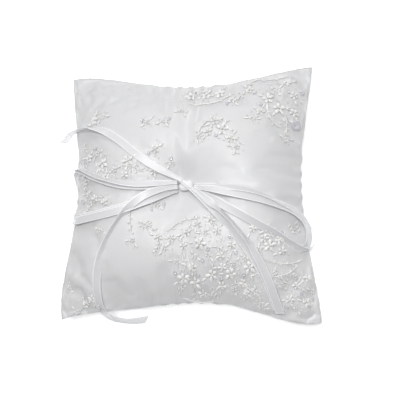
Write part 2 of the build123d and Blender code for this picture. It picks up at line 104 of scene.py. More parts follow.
# Shares of a sequin's radius: out from its middle, and up.
SEQUIN_PROFILE = [(0.16, 0.0), (0.55, 0.05), (1.0, 0.3), (1.0, 0.42), (0.55, 0.17), (0.16, 0.12)]
STEM_STATIONS, STEM_RADIUS, STEM_LIFT = 22, 0.42, 1.0
RIDGE_STATIONS, RIDGE_SIDES, RIDGE_RADIUS = 140, 8, 0.42
WHIP_COUNT, WHIP_RADIUS, WHIP_POINTS, CLOSING_EDGE = 14, 0.2, 12, 88.0

# ---- Camera ----
CAMERA_AIM = (10.08, -7.29, 25.0)
CAMERA_DISTANCE = 400.0
CAMERA_ELEVATION, CAMERA_AZIMUTH, CAMERA_ROLL = radians(77.59), radians(37.45), radians(-37.9)
CAMERA_SENSOR, CAMERA_LENS = 36.0, 44.24

# ---- Table and light, in metres and watts ----
TABLE_REACH, TABLE_LEVEL = 3.0, -0.0002
TABLE_GLOW, SURROUND_STRENGTH = 0.34, 0.15
# Each light's name, place, aim, size and power.
LIGHTS = [
    ("window", (-0.1, 0.75, 0.75), (0, 0, 0.02), 0.5, 3.2),
    ("overhead", (0.0, 0.03, 1.0), (0, 0, 0), 0.35, 7.6),
]


# ---- Making meshes ----
def quads(rows, columns, ring=False, loop=False):
    """Corner numbers of the four-sided faces of a grid of points. Its last column meets its first
    if ring, and its last row meets its first if loop."""
    index = np.arange(rows * columns).reshape(rows, columns)
    if loop:
        index = np.concatenate([index, index[:1]])
    if ring:
        index = np.concatenate([index, index[:, :1]], axis=1)
    faces = np.stack([index[:-1, :-1], index[1:, :-1], index[1:, 1:], index[:-1, 1:]], axis=-1)
    return faces.reshape(-1, 4)


def end_caps(rings, sides):
    """The faces that close both ends of a grid of rings."""
    return [tuple(range(sides - 1, -1, -1)), tuple(range((rings - 1) * sides, rings * sides))]


def placed(name, data):
    """A new object in the scene."""
    made = bpy.data.objects.new(name, data)
    bpy.context.scene.collection.objects.link(made)
    return made


def piece(name, points, faces, material, uv=None, caps=(), body="root"):
    """A smooth-shaded mesh object that rides on a body. points are metres; uv has one pair a point."""
    mesh = bpy.data.meshes.new(name)
    corners = [tuple(face) for face in np.asarray(faces).tolist()] + [tuple(cap) for cap in caps]
    mesh.from_pydata(np.asarray(points, float).reshape(-1, 3).tolist(), [], corners)
    mesh.polygons.foreach_set("use_smooth", np.ones(len(mesh.polygons), bool))
    if uv is not None:
        layer = mesh.uv_layers.new(name="UVMap")
        loops = np.empty(len(mesh.loops), np.int32)
        mesh.loops.foreach_get("vertex_index", loops)
        layer.data.foreach_set("uv", np.asarray(uv, float).reshape(-1, 2)[loops].ravel())
    mesh.materials.append(material)
    mesh.update()
    made = placed(name, mesh)
    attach(made, body)
    return made


def unit(vectors):
    """Each vector at length one."""
    return vectors / np.maximum(np.linalg.norm(vectors, axis=-1, keepdims=True), 1e-12)


# ---- Materials ----
def fill(node, **values):
    """Set even values on a node's own sockets."""
    for socket, value in values.items():
        node.inputs[socket.replace("_", " ")].default_value = value


def shader(name, colour, roughness, **sockets):
    """A material with one Principled shader, its even values set on its own sockets."""
    made = bpy.data.materials.new(name)
    made.use_nodes = True
    principled = made.node_tree.nodes["Principled BSDF"]
    fill(principled, Base_Color=(*colour, 1), Roughness=roughness, **sockets)
    return made, made.node_tree, principled


def math_node(tree, operation, first, second=0.0, third=0.0):
    """One sum, whose inputs are numbers or other nodes' outputs."""
    node = tree.nodes.new("ShaderNodeMath")
    node.operation = operation
    for socket, value in zip(node.inputs, (first, second, third)):
        if isinstance(value, (int, float)):
            socket.default_value = value
        else:
            tree.links.new(value, socket)
    return node.outputs[0]


def place(tree, kind="Object"):
    """The X, Y and Z of a surface point: in metres for Object, in the piece's own map for UV."""
    source = tree.nodes.new("ShaderNodeTexCoord")
    parts = tree.nodes.new("ShaderNodeSeparateXYZ")
    tree.links.new(source.outputs[kind], parts.inputs[0])
    return source.outputs[kind], parts.outputs


def noise(tree, vector, scale, detail=3.0, roughness=0.5):
    """Soft irregular variation from 0 to 1."""
    node = tree.nodes.new("ShaderNodeTexNoise")
    fill(node, Scale=scale, Detail=detail, Roughness=roughness)
    tree.links.new(vector, node.inputs["Vector"])
    return node.outputs["Fac"]


def ridges(tree, value, pitch):
    """Rounded ridges from 0 to 1, one each pitch of the value."""
    turn = math_node(tree, "SINE", math_node(tree, "MULTIPLY", value, 2 * pi / pitch))
    return math_node(tree, "MULTIPLY_ADD", turn, 0.5, 0.5)


def bump(tree, principled, height, distance, strength=1.0):
    """Raise the surface by height, in metres of distance, on top of any bump that is already there."""
    node = tree.nodes.new("ShaderNodeBump")
    fill(node, Strength=strength, Distance=distance)
    tree.links.new(height, node.inputs["Height"])
    if principled.inputs["Normal"].is_linked:
        tree.links.new(principled.inputs["Normal"].links[0].from_socket, node.inputs["Normal"])
    tree.links.new(node.outputs[0], principled.inputs["Normal"])


def tint(tree, principled, factor, low, high):
    """Vary the colour between two tones."""
    ramp = tree.nodes.new("ShaderNodeValToRGB")
    ramp.color_ramp.elements[0].color = (*low, 1)
    ramp.color_ramp.elements[1].color = (*high, 1)
    tree.links.new(factor, ramp.inputs[0])
    tree.links.new(ramp.outputs[0], principled.inputs["Base Color"])


def pillow_satin():
    """Soft duchess satin: floats running along X, crossed by fine weave, gently uneven."""
    made, tree, principled = shader(
        "pillow_satin", (0.68, 0.685, 0.695), 0.42, Sheen_Weight=0.25, Specular_IOR_Level=0.45
    )
    vector, (x, y, _z) = place(tree)
    tint(tree, principled, noise(tree, vector, 60, 4), (0.66, 0.665, 0.678), (0.70, 0.703, 0.71))
    slub = noise(tree, vector, 420, 3, 0.6)
    bump(tree, principled, slub, 0.00025, 0.35)
    weave = math_node(tree, "ADD", math_node(tree, "MULTIPLY", x, 0.35), y)
    bump(tree, principled, ridges(tree, weave, 0.0006), 0.00004, 0.5)
    return made


def lace_net():
    """Sheer tulle: threads round small six-sided holes, from three crossed sets of ridges."""
    made, tree, principled = shader("lace_net", (0.76, 0.76, 0.758), 0.55, Sheen_Weight=0.3)
    _, (x, y, _z) = place(tree)
    pitch, thread_level = 0.0012, -0.95
    waves = None
    for turn in (0, pi / 3, 2 * pi / 3):
        by_x, by_y = math_node(tree, "MULTIPLY", x, cos(turn)), math_node(tree, "MULTIPLY", y, sin(turn))
        across = math_node(tree, "ADD", by_x, by_y)
        wave = math_node(tree, "COSINE", math_node(tree, "MULTIPLY", across, 2 * pi / pitch))
        waves = wave if waves is None else math_node(tree, "ADD", waves, wave)
    thread = math_node(tree, "LESS_THAN", waves, thread_level)
    tree.links.new(thread, principled.inputs["Alpha"])
    made.blend_method = "HASHED"
    return made


def ribbon_satin(name, cover):
    """Narrow sheer satin: fine ribs across, a closer woven edge along each side, painted lighter partly as
    sheen, a faint cool tone.
    Cover is how much of what lies behind its middle is hidden by one face, from 0 to 1."""
    made, tree, principled = shader(
        name, (0.9, 0.905, 0.92), 0.3, Sheen_Weight=0.15, Specular_IOR_Level=0.6, Anisotropic=0.5
    )
    _, (along, across, _z) = place(tree, "UV")
    bump(tree, principled, ridges(tree, along, 0.09), 0.00005, 0.5)
    from_middle = math_node(tree, "ABSOLUTE", math_node(tree, "SUBTRACT", across, 0.5))
    edge = math_node(tree, "GREATER_THAN", from_middle, 0.38)
    # The woven edges are tinted lighter than the middle: partly for their closer weave, partly as painted
    # sheen along them.
    tint(tree, principled, edge, (0.885, 0.89, 0.908), (0.945, 0.948, 0.96))
    bump(tree, principled, edge, 0.00005, 0.4)
    closed = math_node(tree, "MAXIMUM", math_node(tree, "MULTIPLY", edge, 0.85), cover)
    tree.links.new(closed, principled.inputs["Alpha"])
    made.blend_method = "HASHED"
    return made


def stitched(name, colour, shade, pitch, depth):
    """Glossy thread laid side by side: ridges along the piece's own map, with painted shade in the grooves
    between them.
    """
    made, tree, principled = shader(name, colour, 0.36, Sheen_Weight=0.3, Specular_IOR_Level=0.6)
    _, (along, across, _z) = place(tree, "UV")
    slant = math_node(tree, "MULTIPLY_ADD", across, 0.8, along)
    # Painted shade: the colour falls to the shade tone in the grooves between the thread ridges.
    tint(tree, principled, ridges(tree, slant, pitch), shade, colour)
    bump(tree, principled, ridges(tree, slant, pitch), depth, 0.8)
    return made


def sewing_thread():
    """Fine two-ply thread, with its twist."""
    made, tree, principled = shader("sewing_thread", (0.8, 0.8, 0.8), 0.5, Sheen_Weight=0.3)
    _, (x, y, z) = place(tree)
    slant = math_node(tree, "ADD", math_node(tree, "ADD", x, y), z)
    bump(tree, principled, ridges(tree, slant, 0.0006), 0.0001, 0.6)
    return made


def pearl():
    """Seed bead: pearly, under a clear coat."""
    made, tree, principled = shader(
        "pearl_bead", (0.87, 0.85, 0.82), 0.2, Coat_Weight=0.7, Coat_Roughness=0.08, Sheen_Weight=0.2
    )
    vector, _ = place(tree)
    tint(tree, principled, noise(tree, vector, 900, 2), (0.83, 0.81, 0.8), (0.9, 0.885, 0.86))
    return made


def clear_sequin():
    """Clear sequin, with a faint rainbow of pale tones painted on as its iridescent sheen."""
    made, tree, principled = shader(
        "clear_sequin", (0.84, 0.84, 0.88), 0.08, Specular_IOR_Level=0.9, Coat_Weight=0.6, Alpha=0.5
    )
    vector, _ = place(tree)
    # Painted sheen: the rainbow tones stand in for the light that plays on a clear sequin.
    tint(tree, principled, noise(tree, vector, 260, 1), (0.74, 0.78, 0.86), (0.9, 0.84, 0.88))
    made.blend_method = "HASHED"
    return made


satin, net = pillow_satin(), lace_net()
ribbon_finish = ribbon_satin("ribbon_satin", 0.58)
folded_finish = ribbon_satin("ribbon_satin_folded", 0.9)
# Each embroidery finish's second tone is painted shade for the grooves between its threads.
stitching = stitched("embroidery", (0.97, 0.97, 0.96), (0.84, 0.84, 0.83), 0.2, 0.00012)
cording = stitched("embroidery_cord", (0.96, 0.96, 0.95), (0.82, 0.82, 0.81), 0.22, 0.0001)
thread, pearl_finish, sequin_finish = sewing_thread(), pearl(), clear_sequin()


# ---- Camera ----
def camera():
    """The view from above and a little to the right, from an arm's length."""
    turn, rise = CAMERA_AZIMUTH, CAMERA_ELEVATION
    back = np.array([sin(turn) * cos(rise), -cos(turn) * cos(rise), sin(rise)])
    level = np.array([cos(turn), sin(turn), 0.0])
    upright = np.cross(back, level)
    right = level * cos(CAMERA_ROLL) + upright * sin(CAMERA_ROLL)
    up = upright * cos(CAMERA_ROLL) - level * sin(CAMERA_ROLL)
    spot = (np.array(CAMERA_AIM) + back * CAMERA_DISTANCE) * MM
    lens = bpy.data.cameras.new("camera")
    lens.sensor_width, lens.lens = CAMERA_SENSOR, CAMERA_LENS
    lens.clip_start = 0.01
    made = placed("camera", lens)
    columns = np.column_stack([right, up, back])
    made.matrix_world = Matrix.Translation(spot) @ Matrix(columns.tolist()).to_4x4()
    bpy.context.scene.camera = made


camera()

# ---- Ribbon routes, from the knot outwards ----
ONE_LEFT_LOOP = [
    (-5, 1, 46), (-14, 0.8, 48.8), (-24, 0, 52), (-34, -0.6, 54), (-44, 0, 54), (-54, 2, 52.5),
    (-64, 4.8, 49.5), (-73.5, 8.8, 45), (-82, 13.2, 39.5), (-90.5, 17.2, 33), (-97, 19.5, 25),
    (-98.5, 13, 16.5), (-97.3, 3, 12.2), (-97, -8, 12.6), (-98, -17.5, 17.5), (-96.5, -23.2, 27),
    (-89.5, -24.3, 35.5), (-80, -23.6, 42.5), (-70, -22.6, 48), (-59.5, -21.3, 52.5),
    (-49, -19.3, 55), (-39.5, -16.5, 55.5), (-31.5, -13.5, 55), (-22.5, -10, 52.6), (-13.5, -6, 48.2),
    (-5, -2.8, 43.2),
]
TWO_LEFT_LOOP = [
    (-5, 3, 47.4), (-14, 2.4, 50.4), (-24, 1.6, 53.6), (-34, 1, 55.2), (-44, 1.8, 55.5), (-54, 3.8, 54),
    (-64, 6.8, 51), (-73.5, 10.8, 46), (-82, 15.3, 40.5), (-89.5, 19.8, 34.5), (-94.6, 22, 28.5),
    (-96, 16.5, 21), (-94.6, 7.5, 16.5), (-93.8, -2.5, 15.3), (-94.2, -12, 17.5), (-94.8, -19, 23.5),
    (-92.3, -22, 31), (-85, -22.2, 38), (-76, -21.6, 44), (-66, -20.6, 49), (-55.5, -18.9, 52.5),
    (-45.5, -16.6, 54), (-36, -13.6, 54.5), (-27.5, -10.2, 53), (-19, -6.7, 50.5), (-12, -3.9, 46.5),
    (-5, -1.6, 43),
]
TWO_LEFT_TAIL = [
    (-0.5, 4.2, 48.3), (-7, 7.6, 48), (-15.5, 11.7, 51), (-24.9, 16.9, 53.5), (-33.3, 22.6, 54.5),
    (-41.5, 29.2, 54), (-49.6, 36.2, 53), (-57.5, 42, 51), (-66, 47.3, 48.5), (-75, 51, 45),
    (-83.5, 52.7, 40.5), (-91, 52.6, 35.5), (-98, 52, 31), (-104.5, 52.7, 22.5), (-109.5, 53.3, 14),
    (-114.5, 52.9, 7), (-119.3, 51.3, 3.6),
]
ONE_LEFT_TAIL = [
    (-4.5, -0.8, 47), (-11, -1.3, 49), (-18.5, -3.3, 52.5), (-26, -6.4, 55), (-33, -10.6, 56.5),
    (-39.5, -15.8, 56.5), (-45, -21.4, 55), (-50, -27.7, 53.5), (-54.7, -34.2, 52), (-59, -41, 50),
    (-62.8, -48, 48), (-65.7, -55, 46), (-67.8, -62.5, 44), (-69, -70, 41.5), (-69.6, -77.5, 38.5),
    (-69.6, -85, 35), (-69, -92, 31), (-67.2, -98.6, 23.5), (-65.3, -102, 14), (-61.2, -104.4, 6.8),
    (-53.5, -105.4, 4.1), (-45, -105, 3.9), (-37.2, -103.6, 3.9),
]
ONE_RIGHT_LOOP = [
    (8.5, -1.2, 47.2), (18, -2.8, 53.2), (29, -5.4, 56), (39.5, -7.8, 56.3), (50, -10, 54.8),
    (60, -12, 52), (69.5, -14.4, 47.5), (78, -16.8, 42.5), (85, -19.9, 37.5), (90.6, -24, 34.2),
    (94, -29.3, 31.4), (95.6, -35.3, 29.4), (95.6, -41.5, 28.6), (93.2, -46.6, 30),
    (88.2, -48, 33.8), (82.2, -45.2, 38.4), (75.8, -41.2, 42.9), (69, -36.7, 47.5), (61, -32.8, 51),
    (52.5, -28.2, 53.5), (43.5, -23.2, 55.5), (34.5, -18.1, 55.5), (26, -12.8, 54.2), (18, -7.9, 51),
    (12, -4.5, 47.6), (8, -2.6, 44.4),
]
TWO_RIGHT_LOOP = [
    (8.5, 1, 44.5), (18, -0.5, 49.5), (28.5, -2, 53), (38.5, -3.2, 54), (48.5, -4.7, 53.5),
    (58, -7, 51.5), (67.5, -10.5, 47.5), (76.5, -14.5, 42), (84.5, -18.5, 36), (91.6, -23, 30.5),
    (96.4, -28.6, 27), (99.6, -34.8, 24.8), (100.6, -41.2, 24.2), (98.4, -46.8, 25.4),
    (93.4, -49.4, 28.4), (86.6, -47, 33.6), (79, -42.3, 39.9), (70, -37.2, 46), (61.5, -33.2, 49.5),
    (53, -28.6, 52.5), (44, -23.6, 54), (35, -18.5, 54.5), (26.5, -13.2, 52.6), (18.5, -8.2, 49.6),
    (12, -4.4, 45.8), (8, -2.2, 42.6),
]
ONE_RIGHT_TAIL = [
    (5, -2, 48), (10, -6, 48.5), (16.2, -11.5, 52), (22.3, -17.6, 54), (28.5, -24.2, 54.5),
    (34.5, -31, 54.5), (40, -37.7, 54), (45.2, -44.3, 52.5), (50, -50.8, 50.5), (54.6, -57.4, 48.5),
    (58.6, -64.3, 46), (62, -71.6, 42.5), (65, -79, 39), (67.8, -86.6, 35.5), (70.4, -93.8, 31.5),
]
TWO_RIGHT_TAIL = [
    (6.5, -1.2, 49), (11.5, -4.9, 50), (17.5, -10.3, 53), (24.3, -16.4, 56), (30.4, -22.2, 57),
    (36.3, -27.8, 57), (41.6, -33.6, 56), (46.3, -39.5, 55), (50.6, -45.6, 53.5),
    (54.6, -52.3, 51.5), (58.2, -59.2, 48.5), (61.6, -66.5, 45.5), (64.6, -74.2, 42.5),
    (67.4, -82, 38.5), (70, -89.6, 34.5), (72.2, -96.6, 30.5),
]


def ribbon_line(name, route):
    """Points along the smooth line that a ribbon follows, read from its spline."""
    curve = bpy.data.curves.new(name, "CURVE")
    curve.dimensions = "3D"
    curve.resolution_u = 12
    spline = curve.splines.new("NURBS")
    spline.points.add(len(route) - 1)
    for point, spot in zip(spline.points, route):
        point.co = (*(length * MM for length in spot), 1)
    spline.order_u = 3
    spline.use_endpoint_u = True
    holder = bpy.data.objects.new(name, curve)
    line = bpy.data.meshes.new_from_object(holder)
    points = np.array([vertex.co for vertex in line.vertices])
    bpy.data.objects.remove(holder)
    return points


def along_line(points, places):
    """Where each distance along a line of points is, as an array of the same shape."""
    runs = np.linalg.norm(np.diff(points, axis=0), axis=1)
    reached = np.concatenate([[0], np.cumsum(runs)])
    return np.stack([np.interp(places, reached, points[:, axis]) for axis in range(3)], axis=-1)


def steady_frames(points):
    """Tangents and side vectors carried along a line without twisting, starting level."""
    tangents = unit(np.gradient(points, axis=0))
    side = unit(np.cross([0, 0, 1], tangents[0]))
    sides = [side]
    for tangent in tangents[1:]:
        side = unit(side - tangent * side.dot(tangent))
        sides.append(side)
    return tangents, np.array(sides)


def twists(tangents, sides, faces, shares):
    """The turn about the line, at each station, that brings the ribbon's face to the stated
    directions: the nearest half turn at each stated share of its length, eased in between."""
    stops, angles, before = [], [], 0.0
    for share, direction in faces:
        station = int(round(share * (len(shares) - 1)))
        side, up = sides[station], np.cross(tangents[station], sides[station])
        wanted = np.array(direction, float)
        angle = np.arctan2(-wanted.dot(side), wanted.dot(up))
        angle += pi * round((before - angle) / pi)
        stops.append(share)
        angles.append(angle)
        before = angle
    step = np.clip(np.searchsorted(stops, shares) - 1, 0, len(stops) - 2)
    low, high = np.array(stops)[step], np.array(stops)[step + 1]
    eased = np.clip((shares - low) / (high - low), 0, 1)
    eased = eased * eased * (3 - 2 * eased)
    return np.array(angles)[step] * (1 - eased) + np.array(angles)[step + 1] * eased


def ribbon(node, route, faces, end="bare", slant=0.0, cup=0.25):
    """A flat band carried along its line and turned about it, with its faces towards the stated
    directions at the stated shares of its length. Across, it is thin with thicker woven edges, and
    cupped a little; a free end is cut at a slant. It replaces its plain solid."""
    name, ring_size = node + "_band", 2 * BAND_POINTS
    line = ribbon_line(name, route)
    runs = np.linalg.norm(np.diff(line, axis=0), axis=1)
    full = runs.sum()
    count = int(full / (STATION_PITCH * MM))
    shares = np.linspace(0, 1, count)
    across = np.linspace(-1, 1, BAND_POINTS)
    middle = along_line(line, shares * full)
    tangents, sides = steady_frames(middle)
    turn = twists(tangents, sides, faces, shares)[:, None]
    ups = np.cross(tangents, sides)
    turned_side = sides * np.cos(turn) + ups * np.sin(turn)
    turned_up = ups * np.cos(turn) - sides * np.sin(turn)
    ring = np.concatenate([across, across[::-1]])
    face = np.concatenate([np.ones(BAND_POINTS), -np.ones(BAND_POINTS)])
    thickness = RIBBON_THICKNESS / 2 * (1 + SELVEDGE_GAIN * (np.abs(ring) > SELVEDGE_FROM)) * face
    from_knot = (np.minimum(shares, 1 - shares) if end == "object" else shares) * full / MM
    gathered = 1 - KNOT_GATHER * np.exp(-((from_knot / KNOT_REACH) ** 2))[:, None]
    cupped = (cup * np.sin(pi * np.clip(shares * 1.02, 0, 1))[:, None] + 1 - gathered) * (ring**2 - 0.4)
    half = RIBBON_WIDTH / 2
    reach = shares[:, None] * (full + slant / 2 * ring[None, :] * MM)
    beyond = line[-1] + unit(line[-1] - line[-2]) * slant * MM
    spots = along_line(np.vstack([line, beyond]), reach)
    points = (
        spots
        + turned_side[:, None] * (gathered * ring * half * MM)[..., None]
        + turned_up[:, None] * ((thickness + cupped) * MM)[..., None]
    )
    uv = np.stack(np.broadcast_arrays(shares[:, None] * full / (half * 2 * MM), (ring + 1) / 2), axis=-1)
    sides = quads(count, ring_size, ring=True)[:, ::-1]
    caps = [cap[::-1] for cap in end_caps(count, ring_size)]
    made = piece(name, points, sides, ribbon_finish, uv, caps)
    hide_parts(node)


UP = (0, 0, 1)
ribbon(
    "ribbon_one_left_loop", ONE_LEFT_LOOP,
    [(0, UP), (0.14, (0, 0.35, 1)), (0.26, (0, 0.8, 0.6)), (0.34, (0, 1, 0.3)), (0.42, (-1, 0.2, 0.1)),
     (0.5, (-1, 0, 0)), (0.58, (-1, 0, 0.5)), (0.66, (0, 0, 1)), (0.8, UP), (1, UP)],
    end="object",
)
ribbon(
    "ribbon_two_left_loop", TWO_LEFT_LOOP,
    [(0, UP), (0.12, (0, 0.55, 1)), (0.24, (0, 1, 0.55)), (0.34, (0, 1, 0.3)), (0.42, (-1, 0.2, 0.1)),
     (0.5, (-1, 0, 0)), (0.58, (-1, 0, 0.5)), (0.66, (0, 0, 1)), (0.8, UP), (1, UP)],
    end="object",
)
ribbon(
    "ribbon_one_right_loop", ONE_RIGHT_LOOP,
    [(0, UP), (0.12, (0, 0.3, 1)), (0.3, (0, 0.25, 1)), (0.4, (0.5, 0.3, 0.8)), (0.5, (0.8, 0, 0.7)),
     (0.56, (0.9, -0.6, 0.5)), (0.62, (0.4, -1, 0.6)), (0.75, (0, -0.5, 1)), (1, UP)],
    end="object",
)
ribbon(
    "ribbon_two_right_loop", TWO_RIGHT_LOOP,
    [(0, UP), (0.12, (0, 0.9, 1)), (0.25, (0, 1, 0.8)), (0.38, (0.9, 0.4, 0.4)), (0.46, (1, 0, 0.05)),
     (0.54, (1, -0.4, -0.1)), (0.6, (0.4, -1, 0.2)), (0.7, (0, -0.8, 0.8)), (0.82, (0, -0.3, 1)),
     (1, UP)],
    end="object",
)
ribbon(
    "ribbon_one_left_tail", ONE_LEFT_TAIL,
    [(0, UP), (0.1, UP), (0.2, (0.6, 0.2, 0.8)), (0.3, (0.85, -0.35, 0.5)), (0.42, (0.75, -0.15, 0.7)),
     (0.55, (0.4, -0.1, 1)), (0.66, (0, -0.5, 1)), (0.76, (0, -1, 0.1)), (0.88, (0, -0.75, 0.7)),
     (1, (0, -0.55, 0.9))],
    slant=4.5,
)
ribbon(
    "ribbon_two_left_tail", TWO_LEFT_TAIL,
    [(0, UP), (0.2, UP), (0.45, (-0.1, 0.1, 1)), (0.56, (0, 0.6, 1)), (0.64, (0, 1, 0.35)),
     (0.74, (0, 1, 0.1)), (0.87, (-0.2, 1, 0.0)), (1, (-0.4, 0.85, -0.1))],
    slant=2.5, cup=0.1,
)
ribbon(
    "ribbon_one_right_tail", ONE_RIGHT_TAIL,
    [(0, UP), (0.2, (-0.3, 0.1, 1)), (0.4, (-0.5, -0.3, 1)), (0.7, (0.1, -0.4, 0.9)),
     (1, (0.2, -0.55, 0.8))],
    slant=3.0,
)
ribbon(
    "ribbon_two_right_tail", TWO_RIGHT_TAIL,
    [(0, UP), (0.14, UP), (0.26, (0.7, 0.55, 0.4)), (0.44, (0.9, 0.7, 0.35)), (0.6, (0.4, 0, 0.9)),
     (0.8, (0.2, -0.4, 0.9)), (1, (0.2, -0.55, 0.8))],
    slant=3.0,
)


# ---- The cushion ----
def side_pull(shape, along):
    """How far a side is drawn in at a place along it, from -1 to 1 between its corners."""
    return (1 - along**2) * sum(factor * along**power for power, factor in enumerate(shape))


def scallops(along, across):
    """The seam's small uneven scallops, in mm: a wave along it that fades towards its corners and
    away from the seam."""
    uneven = np.sin(44 * along + 4 * np.sin(7 * along)) * (0.55 + 0.45 * np.sin(5 * along + 1))
    return SCALLOP * uneven * (1 - along**4) * np.sign(across) * np.abs(across) ** 16


def plan(u, v):
    """The place in the square of the cloth point (u, v), each from -1 to 1."""
    pull_x = (1 + u) / 2 * side_pull(RIGHT_PULL, v) + (1 - u) / 2 * side_pull(LEFT_PULL, v)
    pull_y = (1 + v) / 2 * side_pull(TOP_PULL, u) + (1 - v) / 2 * side_pull(BOTTOM_PULL, u)
    return u * (HALF_SIDE - pull_x) + scallops(v, u), v * (HALF_SIDE - pull_y) + scallops(u, v)


def cloth_place(x, y):
    """The cloth points (u, v) over places in the square, by repeated correction."""
    u, v = x / HALF_SIDE, y / HALF_SIDE
    for _ in range(40):
        reached_x, reached_y = plan(u, v)
        u, v = u + (x - reached_x) / HALF_SIDE, v + (y - reached_y) / HALF_SIDE
    return u, v


def fullness(u, v):
    """How full the cushion is at (u, v): 1 in its middle and 0 at its seam."""
    return (1 - SWELL_NEAR * u**2 - SWELL_FAR * u**4) * (1 - SWELL_NEAR * v**2 - SWELL_FAR * v**4)


def dimple(x, y, depth, reach):
    """The tuft's dent: deepest in the middle, fading out with distance."""
    return depth * np.exp(-(np.sqrt(x * x + y * y + DIMPLE_ROUNDING**2) - DIMPLE_ROUNDING) / reach)


def seam_level(u, v):
    """The height of the side seam, which droops towards the empty corner points."""
    return SEAM_HEIGHT - CORNER_DROOP * u * u * v * v


def crown(u, v):
    """The front: seam height plus the swell, less the tuft's dent, with small pleats round the
    tuft and small gathers along the seam."""
    x, y = plan(u, v)
    full = fullness(u, v)
    rise = full * (CROWN_RISE - dimple(x, y, CROWN_DIMPLE, CROWN_DIMPLE_REACH))
    return np.stack([x, y, seam_level(u, v) + rise + COVER_OFFSET * full + gathers(u, v)], axis=-1)


def back(u, v):
    """The back: it hangs below the seam and flattens softly onto the surface, round its own tuft."""
    x, y = plan(u, v)
    full = fullness(u, v)
    hang = seam_level(u, v) - full * (BACK_DROP - dimple(x, y, BACK_DIMPLE, BACK_DIMPLE_REACH))
    floor = (hang + np.sqrt(hang * hang + FLAT_ROUNDING**2)) / 2 + BACK_CLEARANCE * full
    z = floor - (COVER_OFFSET + 0.1) * full - gathers(u, v)
    return np.stack([x, y, np.maximum(z, 0.0)], axis=-1)


def gathers(u, v):
    """Pleats that fan out from the tuft, and puckers that run in from the seam: a wave whose
    height fades with distance."""
    x, y = plan(u, v)
    distance, bearing = np.hypot(x, y), np.arctan2(y, x)
    fan = FAN_HEIGHT * np.exp(-(((distance - FAN_RING) / FAN_SPREAD) ** 2))
    fan = fan * np.cos(9 * bearing + 1.3 * np.sin(2 * bearing))
    rim = np.exp(-(1 - np.abs(u)) / RIM_REACH) * np.sin(v * 37 + 3 * np.sin(v * 5.3))
    rim = rim + np.exp(-(1 - np.abs(v)) / RIM_REACH) * np.sin(u * 35 + 3 * np.sin(u * 4.7))
    inside = np.minimum(1, (1 - np.maximum(np.abs(u), np.abs(v))) / RIM_EASE)
    return fan + RIM_HEIGHT * rim * inside


def grid_shares(count):
    """Places from -1 to 1 that stand closer together near the seam."""
    evenly = np.linspace(-1, 1, count)
    return (1 + EDGE_CROWDING / 2) * evenly - EDGE_CROWDING / 2 * evenly**3


def cushion_points():
    """The closed cushion as two grids that share their border: points, faces, both index grids."""
    shares = grid_shares(CUSHION_GRID)
    u, v = np.meshgrid(shares, shares, indexing="ij")
    front_points, back_points = crown(u, v), back(u, v)
    count = CUSHION_GRID
    front_index = np.arange(count * count).reshape(count, count)
    inner = np.arange((count - 2) ** 2).reshape(count - 2, count - 2) + count * count
    back_index = front_index.copy()
    back_index[1:-1, 1:-1] = inner
    points = np.concatenate([front_points.reshape(-1, 3), back_points[1:-1, 1:-1].reshape(-1, 3)])
    front_faces = quads(count, count)
    back_faces = back_index.ravel()[quads(count, count)][:, ::-1]
    return points, np.concatenate([front_faces, back_faces]), front_index, back_index


def smoothed(field, rounds):
    """A field on a grid, averaged with its four neighbours again and again."""
    for _ in range(rounds):
        wide = np.pad(field, ((1, 1), (1, 1), (0, 0)), mode="edge")
        field = (wide[:-2, 1:-1] + wide[2:, 1:-1] + wide[1:-1, :-2] + wide[1:-1, 2:] + 2 * field) / 6
    return field


def simulate(points, faces, front_index, back_index):
    """Let slack satin fill out under pressure, held at its seam, its tufts and where it rests, and
    return the points with the fine folds that form, none higher than the cap."""
    made = piece("cushion_cloth", points * MM, faces, satin)
    held = made.vertex_groups.new(name="held")
    border = np.ones_like(front_index, bool)
    border[1:-1, 1:-1] = False
    near_tuft = np.hypot(points[:, 0], points[:, 1]) < TUFT_HOLD
    resting = points[:, 2] < REST_HOLD
    fixed = np.union1d(front_index[border], np.flatnonzero(near_tuft | resting))
    held.add(fixed.tolist(), 1.0, "REPLACE")
    cloth = made.modifiers.new("cloth", "CLOTH")
    settings = cloth.settings
    settings.vertex_group_mass = "held"
    settings.quality = SIM_QUALITY
    settings.mass = CLOTH_MASS
    settings.tension_stiffness = settings.compression_stiffness = CLOTH_STRETCH
    settings.shear_stiffness = CLOTH_SHEAR
    settings.bending_stiffness = CLOTH_BEND
    settings.use_pressure = True
    settings.uniform_pressure_force = CLOTH_PRESSURE
    settings.shrink_min = SLACK
    settings.effector_weights.gravity = 0
    cloth.point_cache.frame_start, cloth.point_cache.frame_end = 1, SIM_FRAMES
    for step in range(1, SIM_FRAMES + 1):
        bpy.context.scene.frame_set(step)
        evaluated = made.evaluated_get(bpy.context.evaluated_depsgraph_get())
        reached = np.empty(len(points) * 3, np.float32)
        evaluated.data.vertices.foreach_get("co", reached)
    bpy.context.scene.frame_set(1)
    bpy.data.objects.remove(made)
    moved = reached.reshape(-1, 3) / MM - points
    folds = np.zeros_like(points)
    for index in (front_index, back_index):
        field = moved[index]
        folds[index] = field - smoothed(field, FOLD_ROUNDS)
    size = np.linalg.norm(folds, axis=1, keepdims=True)
    folds *= np.minimum(1, PUCKER_CAP / np.maximum(size, 1e-9))
    folds[fixed] = 0
    return points + folds


